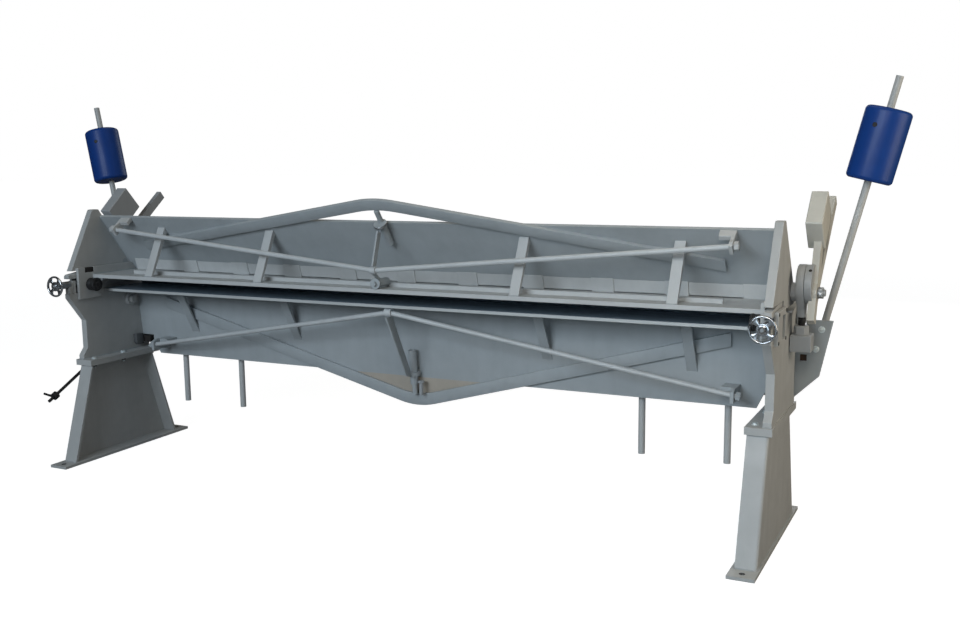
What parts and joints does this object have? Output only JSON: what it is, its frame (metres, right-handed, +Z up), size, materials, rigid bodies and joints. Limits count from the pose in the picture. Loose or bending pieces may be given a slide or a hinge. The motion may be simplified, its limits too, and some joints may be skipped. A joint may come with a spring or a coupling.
{
  "type": "sheet metal folder",
  "caption": "Hand-operated sheet metal folder: sloping trussed clamping beam over a bed, swinging folding beam with counterweights, eccentric clamping levers, steel stands.",
  "frame": {"origin": "on the floor, midway between the stands", "axes": "+X along the bending line to the right seen from the rear, +Y to the operator, +Z up"},
  "size_m": [3.841, 0.8867, 1.6271],
  "materials": {
    "paint_grey": "satin blue-grey machine paint",
    "steel_dark": "ground, oiled, blue-black",
    "steel_black": "black oxide",
    "steel_bright": "turned steel",
    "chrome": "polished chrome",
    "zinc": "bright zinc plate",
    "paint_blue": "gloss dark blue enamel"
  },
  "bodies": {
    "frame": {"stand_left": "paint_grey", "stand_right": "paint_grey", "side_frame_left": "paint_grey", "side_frame_right": "paint_grey", "frame_bolts": "zinc", "bed_plate": "steel_dark", "bed_front_bar": "paint_grey", "bed_web": "paint_grey", "bed_bow": "paint_grey", "bed_ribs": "paint_grey", "bed_tie_rods": "paint_grey", "bed_tie_ends": "paint_grey", "bed_strut": "paint_grey", "bed_post": "paint_grey", "bed_bosses": "paint_grey", "slide_guides": "paint_grey", "link_pins": "steel_bright", "hinge_pins": "steel_bright", "stop_guide": "paint_grey"},
    "carriage": {"slide_blocks": "steel_bright", "pivot_pins": "steel_black"},
    "clamping_beam": {"clamp_end_left": "paint_grey", "clamp_end_right": "paint_grey", "clamp_face": "paint_grey", "clamp_floor": "paint_grey", "nose_blade": "steel_dark", "nose_strip": "paint_grey", "clamp_bow": "paint_grey", "clamp_ribs": "paint_grey", "clamp_tie_rods": "paint_grey", "clamp_tie_ends": "paint_grey", "clamp_strut": "paint_grey", "clamp_post": "paint_grey", "clamp_shafts": "steel_bright"},
    "lever_left": {"lever_arm_left": "paint_grey", "lever_weight_left": "paint_grey", "eccentric_left": "paint_grey"},
    "lever_right": {"lever_arm_right": "paint_grey", "lever_weight_right": "paint_grey", "eccentric_right": "paint_grey"},
    "link_left": {"link_strap_left": "paint_grey", "link_block_left": "paint_grey"},
    "link_right": {"link_strap_right": "paint_grey", "link_block_right": "paint_grey"},
    "handwheel_left": {"handwheel_left": "chrome", "spindle_left": "steel_bright"},
    "handwheel_right": {"handwheel_right": "chrome", "spindle_right": "steel_bright"},
    "folding_beam": {"apron_web": "paint_grey", "apron_face": "paint_grey", "apron_ribs": "paint_grey", "apron_arms": "paint_grey", "apron_handles": "paint_grey", "masts": "paint_grey", "mast_bolts": "zinc", "stop_lug": "paint_grey"},
    "counterweight_left": {"weight_left": "paint_blue"},
    "counterweight_right": {"weight_right": "paint_blue"},
    "stop_rod": {"stop_rod": "steel_black"},
    "stop_collar": {"stop_collar": "steel_black"}
  },
  "joints": [
    {"name": "carriage_slide", "type": "slide", "parent": "frame", "child": "carriage", "axis": [0, 1, 0], "range_m": [-0.008, 0.0015]},
    {"name": "clamp_swing", "type": "hinge", "parent": "carriage", "child": "clamping_beam", "pos_m": [0, -0.138, 0.806], "axis": [-1, 0, 0], "range_deg": [-7, 0]},
    {"name": "lever_left_turn", "type": "hinge", "parent": "clamping_beam", "child": "lever_left", "pos_m": [-1.6, 0.1, 0.886], "axis": [-1, 0, 0], "range_deg": [-103.2, 0]},
    {"name": "link_left_turn", "type": "hinge", "parent": "lever_left", "child": "link_left", "pos_m": [-1.6055, 0.10404, 0.91472], "axis": [-1, 0, 0], "range_deg": [0, 98.2]},
    {"name": "handwheel_left_turn", "type": "hinge", "parent": "carriage", "child": "handwheel_left", "pos_m": [-1.555, -0.315, 0.812], "axis": [0, 1, 0], "range_deg": [-721, 136]},
    {"name": "counterweight_left_slide", "type": "slide", "parent": "folding_beam", "child": "counterweight_left", "axis": [-0.2358, 0.0494, 0.9705], "range_m": [-0.12, 0.06]},
    {"name": "lever_right_turn", "type": "hinge", "parent": "clamping_beam", "child": "lever_right", "pos_m": [1.6, 0.1, 0.886], "axis": [-1, 0, 0], "range_deg": [-103.2, 0]},
    {"name": "link_right_turn", "type": "hinge", "parent": "lever_right", "child": "link_right", "pos_m": [1.6055, 0.10404, 0.91472], "axis": [-1, 0, 0], "range_deg": [0, 98.2]},
    {"name": "handwheel_right_turn", "type": "hinge", "parent": "carriage", "child": "handwheel_right", "pos_m": [1.555, -0.315, 0.812], "axis": [0, 1, 0], "range_deg": [-721, 136]},
    {"name": "counterweight_right_slide", "type": "slide", "parent": "folding_beam", "child": "counterweight_right", "axis": [0.2358, 0.0494, 0.9705], "range_m": [-0.12, 0.06]},
    {"name": "fold_swing", "type": "hinge", "parent": "frame", "child": "folding_beam", "pos_m": [0, 0.226, 0.776], "axis": [1, 0, 0], "range_deg": [0, 120]},
    {"name": "stop_rod_turn", "type": "hinge", "parent": "folding_beam", "child": "stop_rod", "pos_m": [-1.592, 0.205, 0.591], "axis": [1, 0, 0], "range_deg": [-107.6, 0]},
    {"name": "stop_collar_slide", "type": "slide", "parent": "stop_rod", "child": "stop_collar", "axis": [0, 0.8862, 0.4633], "range_m": [-0.02, 0.3]}
  ],
  "couplings": [
    {"joint": "lever_left_turn", "follows": "clamp_swing", "ratio": 14.714},
    {"joint": "lever_right_turn", "follows": "clamp_swing", "ratio": 14.714},
    {"joint": "link_left_turn", "follows": "clamp_swing", "ratio": -14},
    {"joint": "link_right_turn", "follows": "clamp_swing", "ratio": -14},
    {"joint": "handwheel_left_turn", "follows": "carriage_slide", "rad_per_m": 1570.8},
    {"joint": "handwheel_right_turn", "follows": "carriage_slide", "rad_per_m": 1570.8},
    {"joint": "stop_rod_turn", "follows": "fold_swing", "ratio": -0.8958}
  ]
}
